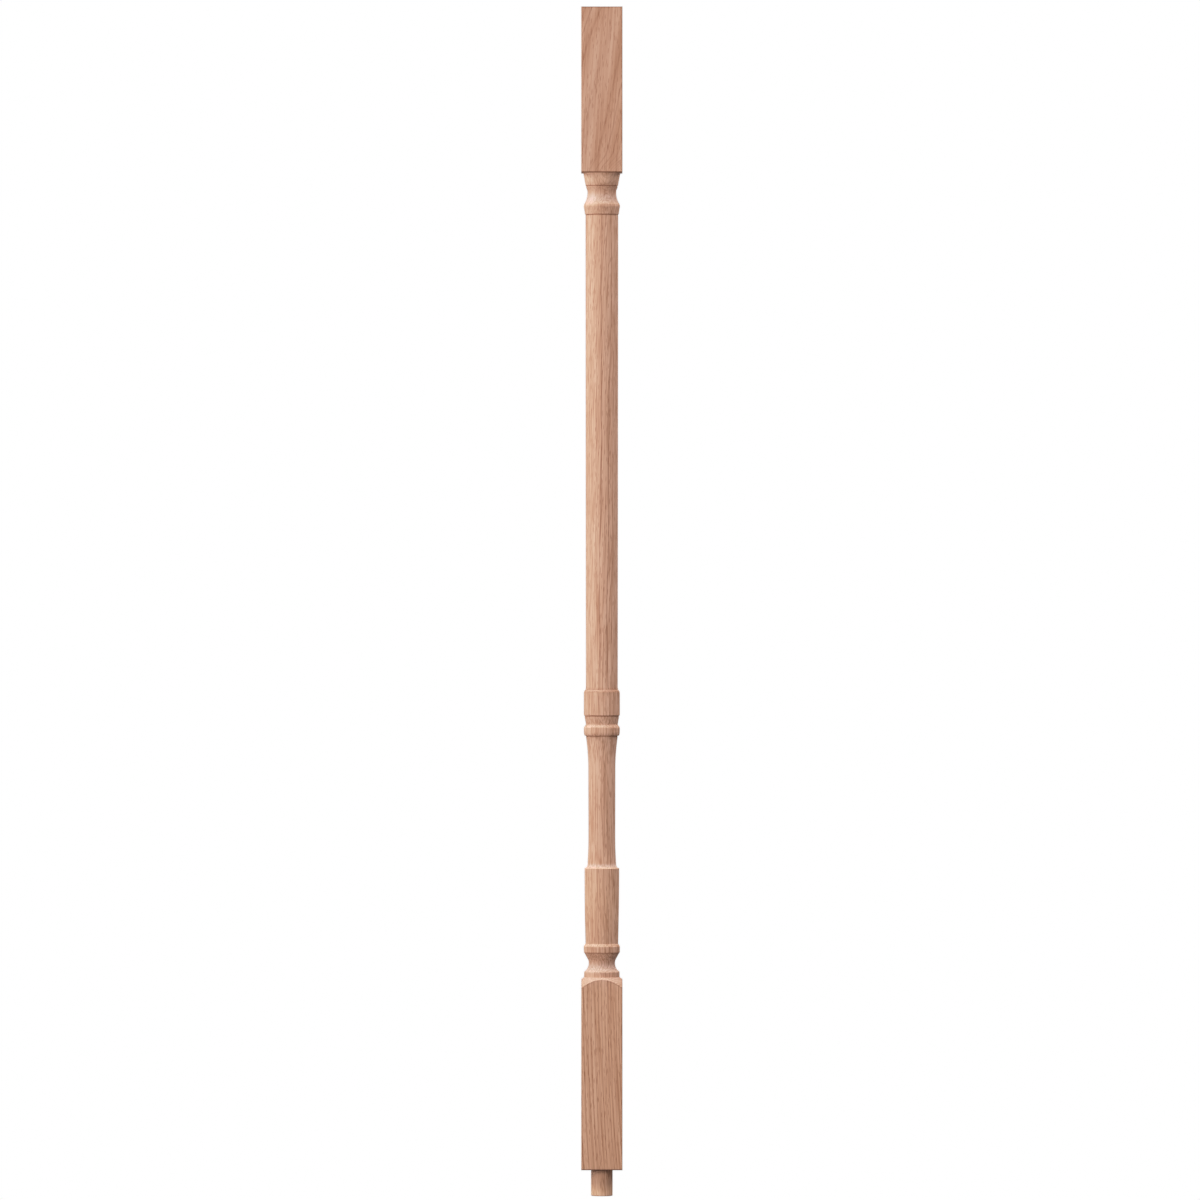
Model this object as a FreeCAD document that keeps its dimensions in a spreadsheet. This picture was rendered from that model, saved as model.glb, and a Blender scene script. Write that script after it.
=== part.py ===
import FreeCAD, Part
import math
import os

import Sketcher

# A stair baluster turned from one square length of oak. Z runs up its axis, and z = 0 is the tread:
# the square lower block stands on it, and the pin below the block goes down into the tread's hole.

# Driving sizes in millimetres, in the order of the work from the tread up
SIZES = {
    # The square blank and its eased long edges
    "blank_width": 31.75,
    "arris_radius": 0.8,
    # The pin that is glued into the tread
    "pin_diameter": 16.7,
    "pin_length": 20.5,
    "pin_chamfer": 0.3,
    # The lower block up to its four corners, and the rounded shoulder that is turned on it
    "lower_block_length": 139.7,
    "shoulder_length": 8.2,
    "shoulder_radius": 45.0,
    # The bead on the shoulder
    "bead_length": 3.3,
    "bead_diameter": 27.4,
    "bead_round_length": 0.9,
    "bead_lip_diameter": 26.9,
    # The deep hollow over the bead, with a straight upper flank
    "scotia_rise_length": 6.5,
    "scotia_throat_diameter": 20.24,
    "scotia_bend_length": 3.3,
    "scotia_bend_diameter": 22.0,
    "scotia_flank_length": 4.7,
    "scotia_lip_diameter": 27.1,
    # The lower ring, which stands proud of the hollow and of the sleeve
    "lower_ring_foot_diameter": 27.5,
    "lower_ring_round_length": 0.7,
    "lower_ring_low_diameter": 27.7,
    "lower_ring_length": 3.7,
    "lower_ring_diameter": 27.94,
    "lower_ring_nose_length": 0.8,
    "lower_ring_nose_diameter": 27.5,
    "lower_ring_chamfer_length": 1.8,
    # The sleeve, a little swollen towards its top, and its narrow upper ledge
    "sleeve_foot_diameter": 25.2,
    "sleeve_length": 58.0,
    "sleeve_diameter": 26.7,
    "ledge_length": 0.5,
    "ledge_diameter": 24.1,
    # The slender vase: a small hollow at its foot, a slow flare, a stem and a long curved neck
    "vase_hollow_length": 3.1,
    "vase_foot_diameter": 21.96,
    "vase_flare_length": 22.8,
    "vase_waist_diameter": 20.64,
    "vase_stem_length": 50.0,
    "vase_stem_diameter": 20.9,
    "vase_neck_length": 24.9,
    "vase_top_diameter": 24.56,
    # The upper ring, over a quirk cut in with the chisel's corner, and chamfered above
    "upper_ring_quirk_length": 0.4,
    "upper_ring_quirk_diameter": 23.9,
    "upper_ring_foot_length": 0.4,
    "upper_ring_foot_diameter": 26.6,
    "upper_ring_round_length": 2.9,
    "upper_ring_diameter": 27.7,
    "upper_ring_length": 2.7,
    "upper_ring_nose_length": 0.8,
    "upper_ring_nose_diameter": 27.4,
    "upper_ring_chamfer_length": 2.1,
    # The cone between the upper ring and the band
    "cone_foot_diameter": 24.56,
    "cone_length": 6.1,
    "cone_top_diameter": 26.6,
    # The wide band at the foot of the shaft, over a quirk
    "band_quirk_length": 0.4,
    "band_quirk_diameter": 25.9,
    "band_foot_length": 0.3,
    "band_foot_diameter": 27.2,
    "band_foot_round_length": 0.6,
    "band_diameter": 27.76,
    "band_length": 17.0,
    "band_top_round_length": 2.3,
    "band_lip_diameter": 25.24,
    "band_hollow_length": 2.7,
    # The long shaft, slightly thicker at its top
    "shaft_foot_diameter": 24.56,
    "shaft_length": 362.4,
    "shaft_top_diameter": 25.2,
    # The collar, which tapers down from a rounded nose to a quirk at the shaft
    "collar_quirk_length": 0.4,
    "collar_quirk_diameter": 24.5,
    "collar_foot_length": 0.3,
    "collar_foot_diameter": 25.9,
    "collar_length": 4.7,
    "collar_low_diameter": 27.4,
    "collar_low_nose_length": 1.5,
    "collar_diameter": 27.9,
    "collar_high_nose_length": 1.6,
    "collar_lip_diameter": 27.44,
    # The hollow over the collar, with a straight upper flank
    "cove_rise_length": 9.2,
    "cove_throat_diameter": 22.14,
    "cove_bend_length": 2.0,
    "cove_bend_diameter": 22.8,
    "cove_flank_length": 2.3,
    "cove_lip_diameter": 24.6,
    # The tapered neck over a quirk, with a small fillet under the flat shoulder of the upper block
    "neck_quirk_length": 0.5,
    "neck_quirk_diameter": 23.7,
    "neck_foot_length": 0.4,
    "neck_foot_diameter": 25.0,
    "neck_length": 8.7,
    "neck_top_diameter": 28.2,
    "neck_fillet": 1.3,
    # The upper block, whose end meets the handrail
    "upper_block_length": 127.0,
}

# How each stretch of the turned outline runs from the end of the one below it
STRAIGHT = "straight"
FLAT = "flat step"
UPRIGHT_BELOW = "arc, upright at its lower end"
UPRIGHT_ABOVE = "arc, upright at its upper end"

# The turned outline from the bead's foot up to the neck: the form of each stretch, its length along
# the axis and the diameter that it reaches
OUTLINE = (
    (STRAIGHT, "bead_length", "bead_diameter"),
    (UPRIGHT_BELOW, "bead_round_length", "bead_lip_diameter"),
    (UPRIGHT_ABOVE, "scotia_rise_length", "scotia_throat_diameter"),
    (UPRIGHT_BELOW, "scotia_bend_length", "scotia_bend_diameter"),
    (STRAIGHT, "scotia_flank_length", "scotia_lip_diameter"),
    (FLAT, None, "lower_ring_foot_diameter"),
    (UPRIGHT_ABOVE, "lower_ring_round_length", "lower_ring_low_diameter"),
    (STRAIGHT, "lower_ring_length", "lower_ring_diameter"),
    (UPRIGHT_BELOW, "lower_ring_nose_length", "lower_ring_nose_diameter"),
    (STRAIGHT, "lower_ring_chamfer_length", "sleeve_foot_diameter"),
    (UPRIGHT_ABOVE, "sleeve_length", "sleeve_diameter"),
    (STRAIGHT, "ledge_length", "ledge_diameter"),
    (UPRIGHT_ABOVE, "vase_hollow_length", "vase_foot_diameter"),
    (UPRIGHT_ABOVE, "vase_flare_length", "vase_waist_diameter"),
    (STRAIGHT, "vase_stem_length", "vase_stem_diameter"),
    (UPRIGHT_BELOW, "vase_neck_length", "vase_top_diameter"),
    (STRAIGHT, "upper_ring_quirk_length", "upper_ring_quirk_diameter"),
    (STRAIGHT, "upper_ring_foot_length", "upper_ring_foot_diameter"),
    (UPRIGHT_ABOVE, "upper_ring_round_length", "upper_ring_diameter"),
    (STRAIGHT, "upper_ring_length", "upper_ring_diameter"),
    (UPRIGHT_BELOW, "upper_ring_nose_length", "upper_ring_nose_diameter"),
    (STRAIGHT, "upper_ring_chamfer_length", "cone_foot_diameter"),
    (STRAIGHT, "cone_length", "cone_top_diameter"),
    (STRAIGHT, "band_quirk_length", "band_quirk_diameter"),
    (STRAIGHT, "band_foot_length", "band_foot_diameter"),
    (UPRIGHT_ABOVE, "band_foot_round_length", "band_diameter"),
    (STRAIGHT, "band_length", "band_diameter"),
    (UPRIGHT_BELOW, "band_top_round_length", "band_lip_diameter"),
    (UPRIGHT_ABOVE, "band_hollow_length", "shaft_foot_diameter"),
    (STRAIGHT, "shaft_length", "shaft_top_diameter"),
    (STRAIGHT, "collar_quirk_length", "collar_quirk_diameter"),
    (STRAIGHT, "collar_foot_length", "collar_foot_diameter"),
    (STRAIGHT, "collar_length", "collar_low_diameter"),
    (UPRIGHT_ABOVE, "collar_low_nose_length", "collar_diameter"),
    (UPRIGHT_BELOW, "collar_high_nose_length", "collar_lip_diameter"),
    (UPRIGHT_ABOVE, "cove_rise_length", "cove_throat_diameter"),
    (UPRIGHT_BELOW, "cove_bend_length", "cove_bend_diameter"),
    (STRAIGHT, "cove_flank_length", "cove_lip_diameter"),
    (STRAIGHT, "neck_quirk_length", "neck_quirk_diameter"),
    (STRAIGHT, "neck_foot_length", "neck_foot_diameter"),
    (STRAIGHT, "neck_length", "neck_top_diameter"),
)

# A place in a sketch is the number of a line or arc and which of its points is meant
START = 1
END = 2
CENTRE = 3
AXIS_POINT = (-1, START)
TREAD_LINE = -1


def total(names):
    """The expression that adds up the named sizes."""
    return " + ".join("sizes." + name for name in names)


def make_sheet(document):
    """The spreadsheet of driving sizes, one row and one alias for each."""
    sheet = document.addObject("Spreadsheet::Sheet", "sizes")
    for row, (name, value) in enumerate(SIZES.items(), start=1):
        sheet.set("A%d" % row, name)
        sheet.set("B%d" % row, str(value))
        sheet.setAlias("B%d" % row, name)
    document.recompute()


def make_sketch(body, name, plane_role):
    """An empty sketch on one of the body's own origin planes."""
    sketch = body.newObject("Sketcher::SketchObject", name)
    plane = [item for item in body.Origin.OriginFeatures if item.Role == plane_role][0]
    sketch.AttachmentSupport = [(plane, "")]
    sketch.MapMode = "FlatFace"
    return sketch


def hold(sketch, kind, *places):
    """Add a rule without a size, such as two ends that meet or a line that stays level."""
    sketch.addConstraint(Sketcher.Constraint(kind, *places))


def bind(sketch, name, expression, kind, *places_and_value):
    """Add a dimension and tie it to the sheet."""
    number = sketch.addConstraint(Sketcher.Constraint(kind, *places_and_value))
    sketch.renameConstraint(number, name)
    sketch.setExpression("Constraints." + name, expression)


def bind_across(sketch, name, expression, near, far, value):
    """Tie the distance across the sketch from one place to another."""
    bind(sketch, name, expression, "DistanceX", *near, *far, value)


def bind_up(sketch, name, expression, low, high, value):
    """Tie the distance up the sketch from one place to another."""
    bind(sketch, name, expression, "DistanceY", *low, *high, value)


def point(radius, height):
    """A point of a lathe sketch: radius from the axis, height over the tread."""
    return FreeCAD.Vector(radius, height, 0)


def add_line(sketch, first, second):
    """Add a line between two points, and return its places there."""
    number = sketch.addGeometry(Part.LineSegment(first, second))
    return (number, START), (number, END)


def add_arc(sketch, first, second, centre):
    """Add the shorter arc between two points about a centre, and return its places there."""
    full_turn = 2 * math.pi
    first_angle = math.atan2(first.y - centre.y, first.x - centre.x)
    second_angle = math.atan2(second.y - centre.y, second.x - centre.x)
    circle = Part.Circle(centre, FreeCAD.Vector(0, 0, 1), first.distanceToPoint(centre))
    if (second_angle - first_angle) % full_turn < math.pi:
        number = sketch.addGeometry(Part.ArcOfCircle(circle, first_angle, second_angle))
        return (number, START), (number, END)
    number = sketch.addGeometry(Part.ArcOfCircle(circle, second_angle, first_angle))
    return (number, END), (number, START)


def add_upright_arc(sketch, low, high, form):
    """Add an arc that leaves one of its ends upright, so that its centre lies level with that end."""
    upright, other = (low, high) if form == UPRIGHT_BELOW else (high, low)
    across = other.x - upright.x
    reach = (across ** 2 + (other.y - upright.y) ** 2) / (2 * across)
    low_place, high_place = add_arc(sketch, low, high, point(upright.x + reach, upright.y))
    upright_place = low_place if form == UPRIGHT_BELOW else high_place
    hold(sketch, "Horizontal", upright_place[0], CENTRE, *upright_place)
    return low_place, high_place


def add_shoulder(sketch, corner, top):
    """Add the flat arch from a corner of the lower block up to the bead, and return its places there."""
    chord = top - corner
    into_block = FreeCAD.Vector(-chord.y, chord.x, 0).normalize()
    depth = math.sqrt(SIZES["shoulder_radius"] ** 2 - chord.Length ** 2 / 4)
    corner_place, top_place = add_arc(sketch, corner, top, corner + chord / 2 + into_block * depth)
    bind(sketch, "shoulder_radius", "sizes.shoulder_radius", "Radius", top_place[0], SIZES["shoulder_radius"])
    bind_across(sketch, "corner_radius", "sizes.blank_width / sqrt(2)", AXIS_POINT, corner_place, corner.x)
    bind_up(sketch, "corner_height", "sizes.lower_block_length", AXIS_POINT, corner_place, corner.y)
    bind_across(sketch, "bead_foot", "sizes.bead_diameter / 2", AXIS_POINT, top_place, top.x)
    bind_up(sketch, "shoulder_length", "sizes.shoulder_length", corner_place, top_place, chord.y)
    return corner_place, top_place


def turn_away(body, sketch, name):
    """Cut a sketched outline away all round the axis."""
    before = body.Shape.Volume
    groove = body.newObject("PartDesign::Groove", name)
    groove.Profile = sketch
    groove.ReferenceAxis = (sketch, ["V_Axis"])
    groove.Angle = 360
    body.Document.recompute()
    if not body.Shape.Volume < before:
        raise RuntimeError(name + " cut nothing away")


def make_blank(body):
    """The square blank, sawn to the whole length with the pin, and eased along its four edges."""
    sketch = make_sketch(body, "blank_section", "XY_Plane")
    sketch.setExpression("AttachmentOffset.Base.z", "-sizes.pin_length")
    width = SIZES["blank_width"]
    signs = ((-1, -1), (1, -1), (1, 1), (-1, 1))
    corners = [FreeCAD.Vector(x * width / 2, y * width / 2, 0) for x, y in signs]
    for corner, following in zip(corners, corners[1:] + corners[:1]):
        add_line(sketch, corner, following)
    front, right, back, left = range(4)
    for side, following in ((front, right), (right, back), (back, left), (left, front)):
        hold(sketch, "Coincident", side, END, following, START)
    for level in (front, back):
        hold(sketch, "Horizontal", level)
    for upright in (right, left):
        hold(sketch, "Vertical", upright)
    hold(sketch, "Symmetric", front, START, back, START, *AXIS_POINT)
    bind_across(sketch, "width", "sizes.blank_width", (front, START), (front, END), width)
    bind_up(sketch, "depth", "sizes.blank_width", (right, START), (right, END), width)

    lengths = ["pin_length", "lower_block_length", "shoulder_length"]
    lengths += [length for form, length, diameter in OUTLINE if length]
    lengths += ["neck_fillet", "upper_block_length"]
    blank = body.newObject("PartDesign::Pad", "blank")
    blank.Profile = sketch
    blank.setExpression("Length", total(lengths))
    body.Document.recompute()

    long_edges = [
        "Edge%d" % number
        for number, edge in enumerate(blank.Shape.Edges, start=1)
        if abs(edge.tangentAt(edge.FirstParameter).z) > 0.5
    ]
    eased = body.newObject("PartDesign::Fillet", "eased_arrises")
    eased.Base = (blank, long_edges)
    eased.setExpression("Radius", "sizes.arris_radius")
    body.Document.recompute()


def make_turning(body):
    """The stretch between the blocks: its waste is turned away round the axis.

    The outline of the waste starts at a corner of the lower block, climbs the shoulder and the stretches of
    OUTLINE, rounds the fillet under the upper block and closes outside the blank, a blank's width from the
    axis, where it clears the corners.
    """
    sketch = make_sketch(body, "turned_outline", "XZ_Plane")
    clear = SIZES["blank_width"]
    corner = point(SIZES["blank_width"] / math.sqrt(2), SIZES["lower_block_length"])
    reached = point(SIZES["bead_diameter"] / 2, corner.y + SIZES["shoulder_length"])
    corner_place, reached_place = add_shoulder(sketch, corner, reached)

    # The stretches, each from the end of the one below it
    for number, (form, length, diameter) in enumerate(OUTLINE):
        low = reached
        rise = SIZES[length] if length else 0
        reached = point(SIZES[diameter] / 2, low.y + rise)
        if form in (STRAIGHT, FLAT):
            low_place, high_place = add_line(sketch, low, reached)
        else:
            low_place, high_place = add_upright_arc(sketch, low, reached, form)
        hold(sketch, "Coincident", *reached_place, *low_place)
        if form == FLAT:
            hold(sketch, "Horizontal", low_place[0])
        else:
            bind_up(sketch, "length_%d" % number, "sizes." + length, low_place, high_place, rise)
        half = "sizes.%s / 2" % diameter
        bind_across(sketch, "radius_%d" % number, half, AXIS_POINT, high_place, reached.x)
        reached_place = high_place

    # The fillet under the upper block
    fillet = SIZES["neck_fillet"]
    under = point(reached.x + fillet, reached.y + fillet)
    low_place, under_place = add_upright_arc(sketch, reached, under, UPRIGHT_BELOW)
    hold(sketch, "Coincident", *reached_place, *low_place)
    bind_up(sketch, "fillet_length", "sizes.neck_fillet", low_place, under_place, fillet)
    bind_across(sketch, "fillet_width", "sizes.neck_fillet", low_place, under_place, fillet)

    # The flat shoulder of the upper block, the way down outside the blank and the way back in
    flat_start, flat_end = add_line(sketch, under, point(clear, under.y))
    outer_start, outer_end = add_line(sketch, point(clear, under.y), point(clear, corner.y))
    back_start, back_end = add_line(sketch, point(clear, corner.y), corner)
    hold(sketch, "Coincident", *under_place, *flat_start)
    hold(sketch, "Coincident", *flat_end, *outer_start)
    hold(sketch, "Coincident", *outer_end, *back_start)
    hold(sketch, "Coincident", *back_end, *corner_place)
    hold(sketch, "Horizontal", flat_start[0])
    hold(sketch, "Vertical", outer_start[0])
    hold(sketch, "Horizontal", back_start[0])
    bind_across(sketch, "clear_radius", "sizes.blank_width", AXIS_POINT, outer_end, clear)
    turn_away(body, sketch, "turned_stretch")


def make_pin(body):
    """The pin: the waste round it is turned away, with the chamfer that leads it into its hole."""
    sketch = make_sketch(body, "pin_outline", "XZ_Plane")
    radius = SIZES["pin_diameter"] / 2
    chamfer = SIZES["pin_chamfer"]
    bottom = -SIZES["pin_length"]
    clear = SIZES["blank_width"]
    corners = [
        point(radius - chamfer, bottom),
        point(radius, bottom + chamfer),
        point(radius, 0),
        point(clear, 0),
        point(clear, bottom),
    ]
    for corner, following in zip(corners, corners[1:] + corners[:1]):
        add_line(sketch, corner, following)
    slant, side, seat, outer, end = range(5)
    for line, following in ((slant, side), (side, seat), (seat, outer), (outer, end), (end, slant)):
        hold(sketch, "Coincident", line, END, following, START)
    for upright in (side, outer):
        hold(sketch, "Vertical", upright)
    for level in (seat, end):
        hold(sketch, "Horizontal", level)
    hold(sketch, "PointOnObject", seat, START, TREAD_LINE)
    bind_across(sketch, "pin_radius", "sizes.pin_diameter / 2", AXIS_POINT, (seat, START), radius)
    bind_across(sketch, "clear_radius", "sizes.blank_width", AXIS_POINT, (outer, START), clear)
    bind_up(sketch, "pin_length", "sizes.pin_length", (outer, END), (outer, START), -bottom)
    bind_across(sketch, "chamfer_width", "sizes.pin_chamfer", (slant, START), (slant, END), chamfer)
    bind_up(sketch, "chamfer_length", "sizes.pin_chamfer", (slant, START), (slant, END), chamfer)
    turn_away(body, sketch, "turned_pin")


def check(document, body):
    """Stop before anything is written if a feature failed or the solid isn't whole."""
    for item in document.Objects:
        if "Invalid" in item.State or "Error" in item.State:
            raise RuntimeError("%s failed: %s" % (item.Name, item.State))
    if body.Shape.isNull() or not body.Shape.isValid() or len(body.Shape.Solids) != 1:
        raise RuntimeError("the baluster is not one valid solid")


document = FreeCAD.newDocument("stair_baluster")
make_sheet(document)
baluster = document.addObject("PartDesign::Body", "baluster")
baluster.Label = "baluster"
make_blank(baluster)
make_turning(baluster)
make_pin(baluster)
document.recompute()
check(document, baluster)

os.makedirs("parts", exist_ok=True)
baluster.Shape.exportStep(os.path.join("parts", baluster.Label + ".step"))
box = baluster.Shape.optimalBoundingBox()
print("baluster: %.2f x %.2f mm, z %.2f to %.2f" % (box.XLength, box.YLength, box.ZMin, box.ZMax))
print("volume %.1f cm3, %d faces" % (baluster.Shape.Volume / 1000, len(baluster.Shape.Faces)))
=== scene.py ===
import math
from collections import namedtuple

import bpy
import numpy as np
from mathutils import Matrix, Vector


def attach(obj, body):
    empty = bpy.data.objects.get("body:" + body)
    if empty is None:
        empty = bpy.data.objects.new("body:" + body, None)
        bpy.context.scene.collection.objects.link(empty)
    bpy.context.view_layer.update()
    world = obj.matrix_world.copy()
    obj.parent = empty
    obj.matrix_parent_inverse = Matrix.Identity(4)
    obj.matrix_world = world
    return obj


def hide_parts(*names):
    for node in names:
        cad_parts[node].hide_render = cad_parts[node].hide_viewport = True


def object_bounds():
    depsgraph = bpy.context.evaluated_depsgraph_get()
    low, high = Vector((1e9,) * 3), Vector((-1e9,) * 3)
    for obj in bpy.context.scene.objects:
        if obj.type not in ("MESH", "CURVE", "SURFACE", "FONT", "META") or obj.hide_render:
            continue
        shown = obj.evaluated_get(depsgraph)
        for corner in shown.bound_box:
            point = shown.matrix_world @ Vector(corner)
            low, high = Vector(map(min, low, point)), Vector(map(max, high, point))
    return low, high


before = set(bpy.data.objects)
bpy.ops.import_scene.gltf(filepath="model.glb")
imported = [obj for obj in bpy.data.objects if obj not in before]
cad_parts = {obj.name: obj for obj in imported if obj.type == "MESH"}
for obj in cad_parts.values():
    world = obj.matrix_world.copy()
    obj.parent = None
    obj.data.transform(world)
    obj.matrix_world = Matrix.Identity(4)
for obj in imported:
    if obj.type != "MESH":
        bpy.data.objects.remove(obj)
cad_low, cad_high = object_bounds()

# The frame is in metres, and the turner's sizes below are in millimetres
MM = 0.001

# What the frame gives: the square blank, the end of the pin, the seat on the tread (at the origin) and
# the end that meets the handrail
HALF_WIDTH = cad_high.x / MM
HALF_DIAGONAL = HALF_WIDTH * math.sqrt(2)
PIN_END = cad_low.z / MM
SEAT = 0.0
TOP_END = cad_high.z / MM

# The pin and the lower block with its rounded shoulder, which ends at the bead's foot
PIN_RADIUS = 8.35
PIN_CHAMFER = 0.3
ARRIS_RADIUS = 0.8
LOWER_BLOCK_LENGTH = 139.7
SHOULDER_LENGTH = 8.2
SHOULDER_RADIUS = 45.0
BEAD_FOOT_RADIUS = 13.7
BEAD_FOOT = LOWER_BLOCK_LENGTH + SHOULDER_LENGTH

# How each stretch of the turned outline runs from the end of the one below it
STRAIGHT = "straight"
FLAT = "flat step"
UPRIGHT_BELOW = "arc, upright at its lower end"
UPRIGHT_ABOVE = "arc, upright at its upper end"

# The turned outline from the bead's foot up to the upper block: each stretch with its form, its rise
# along the axis and the diameter that it reaches
Stretch = namedtuple("Stretch", "name form rise diameter")
TURNED_OUTLINE = (
    Stretch("bead", STRAIGHT, 3.3, 27.4),
    Stretch("bead round", UPRIGHT_BELOW, 0.9, 26.9),
    Stretch("scotia rise", UPRIGHT_ABOVE, 6.5, 20.24),
    Stretch("scotia bend", UPRIGHT_BELOW, 3.3, 22.0),
    Stretch("scotia flank", STRAIGHT, 4.7, 27.1),
    Stretch("lower ring foot", FLAT, 0.0, 27.5),
    Stretch("lower ring round", UPRIGHT_ABOVE, 0.7, 27.7),
    Stretch("lower ring", STRAIGHT, 3.7, 27.94),
    Stretch("lower ring nose", UPRIGHT_BELOW, 0.8, 27.5),
    Stretch("lower ring chamfer", STRAIGHT, 1.8, 25.2),
    Stretch("sleeve", UPRIGHT_ABOVE, 58.0, 26.7),
    Stretch("sleeve ledge", STRAIGHT, 0.5, 24.1),
    Stretch("vase hollow", UPRIGHT_ABOVE, 3.1, 21.96),
    Stretch("vase flare", UPRIGHT_ABOVE, 22.8, 20.64),
    Stretch("vase stem", STRAIGHT, 50.0, 20.9),
    Stretch("vase neck", UPRIGHT_BELOW, 24.9, 24.56),
    Stretch("upper ring quirk", STRAIGHT, 0.4, 23.9),
    Stretch("upper ring foot", STRAIGHT, 0.4, 26.6),
    Stretch("upper ring round", UPRIGHT_ABOVE, 2.9, 27.7),
    Stretch("upper ring", STRAIGHT, 2.7, 27.7),
    Stretch("upper ring nose", UPRIGHT_BELOW, 0.8, 27.4),
    Stretch("upper ring chamfer", STRAIGHT, 2.1, 24.56),
    Stretch("cone", STRAIGHT, 6.1, 26.6),
    Stretch("band quirk", STRAIGHT, 0.4, 25.9),
    Stretch("band foot", STRAIGHT, 0.3, 27.2),
    Stretch("band foot round", UPRIGHT_ABOVE, 0.6, 27.76),
    Stretch("band", STRAIGHT, 17.0, 27.76),
    Stretch("band top round", UPRIGHT_BELOW, 2.3, 25.24),
    Stretch("band hollow", UPRIGHT_ABOVE, 2.7, 24.56),
    Stretch("shaft", STRAIGHT, 362.4, 25.2),
    Stretch("collar quirk", STRAIGHT, 0.4, 24.5),
    Stretch("collar foot", STRAIGHT, 0.3, 25.9),
    Stretch("collar", STRAIGHT, 4.7, 27.4),
    Stretch("collar low nose", UPRIGHT_ABOVE, 1.5, 27.9),
    Stretch("collar high nose", UPRIGHT_BELOW, 1.6, 27.44),
    Stretch("cove rise", UPRIGHT_ABOVE, 9.2, 22.14),
    Stretch("cove bend", UPRIGHT_BELOW, 2.0, 22.8),
    Stretch("cove flank", STRAIGHT, 2.3, 24.6),
    Stretch("neck quirk", STRAIGHT, 0.5, 23.7),
    Stretch("neck foot", STRAIGHT, 0.4, 25.0),
    Stretch("neck", STRAIGHT, 8.7, 28.2),
    Stretch("neck fillet", UPRIGHT_BELOW, 1.3, 30.8),
)
UPPER_BLOCK_FOOT = BEAD_FOOT + sum(stretch.rise for stretch in TURNED_OUTLINE)

# How fine the surface is: the columns round the blank, the steps of an arc and the rows along the rest
COLUMNS_ACROSS_FACE = 32
COLUMNS_ROUND_ARRIS = 8
ARC_STEP = 0.7
FEWEST_ARC_STEPS = 4
MOST_ARC_STEPS = 24
LONGEST_ROW = 12.0
BLOCK_ROWS = 18
SHOULDER_ROWS = 12
EASED_ROWS = 5

# A long run and a flat step have a row close to each end, which keeps their shading flat
EDGE_HOLD = 0.25
SHORTEST_HELD_RUN = 3 * EDGE_HOLD
FLAT_SHARES = (0.04, 0.3, 0.6, 0.96)
# A fan closes the pin's end inside a small ring, given as a share of the pin's radius
PIN_FAN = 0.1

# How far sanding eases an outer and an inner corner, and the most of a run that a corner may take
EASED_EDGE = 0.28
EASED_QUIRK = 0.05
EASED_SHARE = 0.4
# How far the rows of a block stay from its eased edges
CLEAR_OF_EDGE = 2 * EASED_EDGE
# The turn from which a corner of the outline is eased, and the fold that isn't shaded smooth
EASED_TURN = math.radians(14)
SHARP_FOLD = math.radians(38)


def foot_of(name):
    """Height at which a stretch of the turned outline starts."""
    names = [stretch.name for stretch in TURNED_OUTLINE]
    return BEAD_FOOT + sum(stretch.rise for stretch in TURNED_OUTLINE[:names.index(name)])


def middle_of(name):
    """Height half-way up a stretch of the turned outline."""
    rises = {stretch.name: stretch.rise for stretch in TURNED_OUTLINE}
    return foot_of(name) + rises[name] / 2


def upright_arc(low, high, form):
    """Points of an arc from low to high whose centre lies level with its upright end.

    With a the distance across and u the distance up between the ends, the radius is
    (a * a + u * u) / (2 * a), and the arc is swept from the upright end in equal angles.
    """
    upright, other = (low, high) if form == UPRIGHT_BELOW else (high, low)
    across, up = other - upright
    reach = (across ** 2 + up ** 2) / (2 * across)
    radius = abs(reach)
    outward = -np.sign(reach)
    centre = upright[0] + reach
    full_sweep = math.atan2(abs(up), (other[0] - centre) * outward)
    steps = max(FEWEST_ARC_STEPS, int(np.ceil(radius * full_sweep / ARC_STEP)))
    sweep = np.linspace(0, full_sweep, min(steps, MOST_ARC_STEPS) + 1)
    radii = centre + outward * radius * np.cos(sweep)
    heights = upright[1] + np.sign(up) * radius * np.sin(sweep)
    points = np.column_stack([radii, heights])
    return points if form == UPRIGHT_BELOW else points[::-1]


def turned_points():
    """The turned outline as points (radius, height), each stretch from the end of the one below it."""
    chain = [np.array([[BEAD_FOOT_RADIUS, BEAD_FOOT]])]
    for stretch in TURNED_OUTLINE:
        low = chain[-1][-1]
        high = np.array([stretch.diameter / 2, low[1] + stretch.rise])
        if stretch.form in (STRAIGHT, FLAT):
            chain.append(high[None, :])
        else:
            chain.append(upright_arc(low, high, stretch.form)[1:])
    return np.concatenate(chain)


def parabola(t, before, corner, after):
    """A round between two sides of a corner: (1-t)^2 * before + 2t(1-t) * corner + t^2 * after."""
    return (1 - t) ** 2 * before + 2 * t * (1 - t) * corner + t ** 2 * after


def ease_corners(points):
    """Round the sharp corners of an outline: each becomes a small parabola between its two sides.

    Outer corners are sanded round, and the inner corners of the quirks stay nearly sharp.
    """
    run = np.diff(points, axis=0)
    length = np.hypot(run[:, 0], run[:, 1])
    way = run / length[:, None]
    turn = way[:-1, 0] * way[1:, 1] - way[:-1, 1] * way[1:, 0]
    t = np.linspace(0, 1, EASED_ROWS)[:, None]
    eased = [points[:1]]
    for number, corner in enumerate(points[1:-1]):
        if abs(turn[number]) < math.sin(EASED_TURN):
            eased.append(corner[None, :])
            continue
        wanted = EASED_EDGE if turn[number] > 0 else EASED_QUIRK
        cut = min(wanted, EASED_SHARE * length[number], EASED_SHARE * length[number + 1])
        eased.append(parabola(t, corner - cut * way[number], corner, corner + cut * way[number + 1]))
    eased.append(points[-1:])
    return np.concatenate(eased)


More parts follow.
